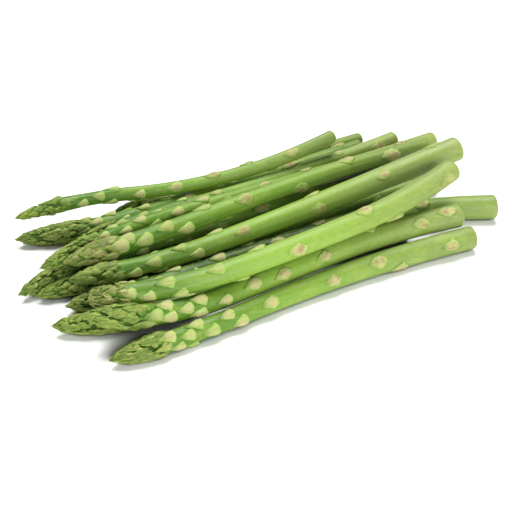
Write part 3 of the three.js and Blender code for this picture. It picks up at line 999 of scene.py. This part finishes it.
def bract_material():
    """Bracts: fans on the upper stem, patches on the lower one and scales on the head, whose
    hollows are painted dark as shade."""
    s = Shader("asparagus_bract")
    plain = s.attribute("plain", "Vector")
    u, v, tone = s.split(s.attribute("leaf", "Vector"))
    beyond = s.attribute("beyond")
    stem = stem_colour(s, plain)
    veins = s.noise(plain, along=0.1, across=2.0)
    blotches = s.noise(plain, along=0.3, across=0.5, detail=3)
    mottle = s.noise(plain, along=0.7, across=1.3, detail=3)
    side = s.math("ABSOLUTE", v)
    fan = s.layer(fan_colour(s, u, side, tone, veins, blotches), stem, u, 0.4, 1.0, 0.9)
    # How far out a point of a patch is, with an uneven edge that leans to one side.
    ends = s.math("ABSOLUTE", s.math("SUBTRACT", s.times(u, 2.0), 0.8))
    outer = s.plus(s.math("MAXIMUM", side, ends), s.times(mottle, 0.9))
    outer = s.plus(outer, s.times(v, s.math("SUBTRACT", tone, 0.5)))
    outer = s.plus(outer, s.times(blotches, 0.9))
    colour = patch_colour(s, plain, fan, stem, outer, old=s.step(beyond, 45, 95))
    scale = scale_colour(s, u, side, tone, veins, mottle)
    colour = s.layer(colour, scale, beyond, 3, -7)
    # Painted shade: deep between the head's scales the colour turns dark green, where shade falls.
    hollow = s.times(s.step(s.attribute("depth"), -0.1, 0.9, 0, 0.9), s.step(beyond, 3, -3))
    s.bump(s.noise(plain, along=0.2, across=4.0), distance=0.00012, strength=0.6)
    return s.finish(s.mix(hollow, colour, rgb(28, 47, 11)))


def bud_material():
    """Buds and threads: green to beige, lighter at their ends, and painted dark as shade deep inside the
    head.
    """
    s = Shader("asparagus_bud")
    plain = s.attribute("plain", "Vector")
    u, _, tone = s.split(s.attribute("leaf", "Vector"))
    fine = s.noise(plain, along=0.5, across=3.0)
    green = s.mix(tone, rgb(73, 112, 26), rgb(126, 155, 53))
    beige = s.mix(tone, rgb(101, 104, 53), rgb(162, 157, 101))
    colour = s.mix(s.times(s.attribute("ripe"), tone), green, beige)
    colour = s.layer(colour, rgb(152, 166, 86), u, 0.5, 1.0, 0.45)
    colour = s.layer(colour, rgb(49, 71, 22), fine, 0.45, 0.75, 0.45)
    # Painted shade: the deeper a bud lies inside the head, the darker its colour.
    colour = s.layer(colour, rgb(22, 38, 9), s.attribute("depth"), 0.0, 1.1, 0.92)
    s.bump(fine, distance=0.0001, strength=0.5)
    return s.finish(colour)


def face_material():
    """The cut face: pale and moist, greener at its rim, with the ends of fine strands."""
    s = Shader("asparagus_cut")
    plain = s.attribute("plain", "Vector")
    u = s.split(s.attribute("leaf", "Vector"))[0]
    strands = s.cells(plain, along=0.2, across=1.6)
    colour = s.mix(s.step(u, 0.0, 0.35), rgb(124, 137, 71), rgb(159, 163, 112))
    colour = s.layer(colour, rgb(129, 132, 78), strands, 0.3, 0.12, 0.5)
    s.bump(strands, distance=0.0003, strength=0.6)
    return s.finish(colour, glow=FACE_GLOW, shine=FACE_SHINE)


def make_spears():
    materials = [skin_material(), bract_material(), bud_material(), face_material()]
    for index, spear in enumerate(SPEARS):
        growth = Growth(index)
        grow_skin(growth)
        grow_stem_bracts(growth)
        grow_head(growth)
        if spear["open"] > 1:
            grow_flowering_tip(growth)
        piece = bpy.data.objects.new(spear["name"] + "_fresh", growth.mesh(materials))
        bpy.context.scene.collection.objects.link(piece)
        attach(piece, "root")
        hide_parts(spear["name"])


def outlook(rise):
    """The direction from the pile to the camera, raised from the ground by an angle."""
    return Vector((
        -math.sin(VIEW_TURN) * math.cos(rise),
        -math.cos(VIEW_TURN) * math.cos(rise),
        math.sin(rise),
    ))


def make_camera():
    data = bpy.data.cameras.new("view")
    data.lens = LENS
    data.sensor_width = SENSOR
    data.clip_start = NEAR_CLIP
    camera = bpy.data.objects.new("view", data)
    bpy.context.scene.collection.objects.link(camera)
    pile = Vector((-MIDDLE[0] * MM, -MIDDLE[1] * MM, VIEW_HEIGHT))
    camera.location = pile + outlook(VIEW_RISE) * VIEW_DISTANCE
    aim = pile - outlook(VIEW_RISE + math.pi / 2) * VIEW_DROP
    camera.rotation_euler = (aim - camera.location).to_track_quat("-Z", "Y").to_euler()
    bpy.context.scene.camera = camera


def place_light(name, data, place):
    """Hangs a light at a place, turned to the pile."""
    light = bpy.data.objects.new(name, data)
    bpy.context.scene.collection.objects.link(light)
    light.location = place
    light.rotation_euler = (AIM - Vector(place)).to_track_quat("-Z", "Y").to_euler()


def make_lights():
    """A wide soft sky light from above and behind, and a low front lamp that fills the shaded sides."""
    sky = bpy.data.lights.new("sky", "SUN")
    sky.angle = SKY_SPREAD
    sky.energy = SKY_POWER
    place_light("sky", sky, SKY_PLACE)
    fill = bpy.data.lights.new("fill", "AREA")
    fill.shape = "DISK"
    fill.size = FILL_SIZE
    fill.energy = FILL_POWER
    place_light("fill", fill, FILL_PLACE)


def make_world():
    world = bpy.data.worlds.new("studio")
    world.use_nodes = True
    background = world.node_tree.nodes["Background"]
    background.inputs["Color"].default_value = (1, 1, 1, 1)
    background.inputs["Strength"].default_value = WORLD_STRENGTH
    bpy.context.scene.world = world
    bpy.context.scene.view_settings.view_transform = "Standard"


def make_floor():
    """A white floor, with shade painted dark into it where little light reaches it between the spears."""
    mesh = bpy.data.meshes.new("floor")
    corners = [(x * FLOOR_HALF, y * FLOOR_HALF, 0) for x, y in ((-1, -1), (1, -1), (1, 1), (-1, 1))]
    mesh.from_pydata(corners, [], [(0, 1, 2, 3)])
    s = Shader("floor_white")
    mesh.materials.append(s.material)
    # Painted shade: the floor's colour turns dark where the spears close it in, standing in for their
    # shade.
    open_sky = s.tree.nodes.new("ShaderNodeAmbientOcclusion")
    open_sky.inputs["Distance"].default_value = FLOOR_REACH
    lit = s.step(open_sky.outputs["AO"], *FLOOR_OPEN)
    s.put(s.skin.inputs["Base Color"], s.mix(lit, FLOOR_SHADE_PAINT, FLOOR_WHITE))
    s.skin.inputs["Roughness"].default_value = FLOOR_ROUGH
    s.skin.inputs["Specular IOR Level"].default_value = FLOOR_SHINE
    floor = bpy.data.objects.new("floor", mesh)
    bpy.context.scene.collection.objects.link(floor)
    floor.location.z = -FLOOR_SINK
    floor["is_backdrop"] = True


make_camera()
make_spears()
make_floor()
make_lights()
make_world()

corners = {"cad": CAD_BOX, "visual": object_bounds()}
{name: [list(corner) for corner in box] for name, box in corners.items()}
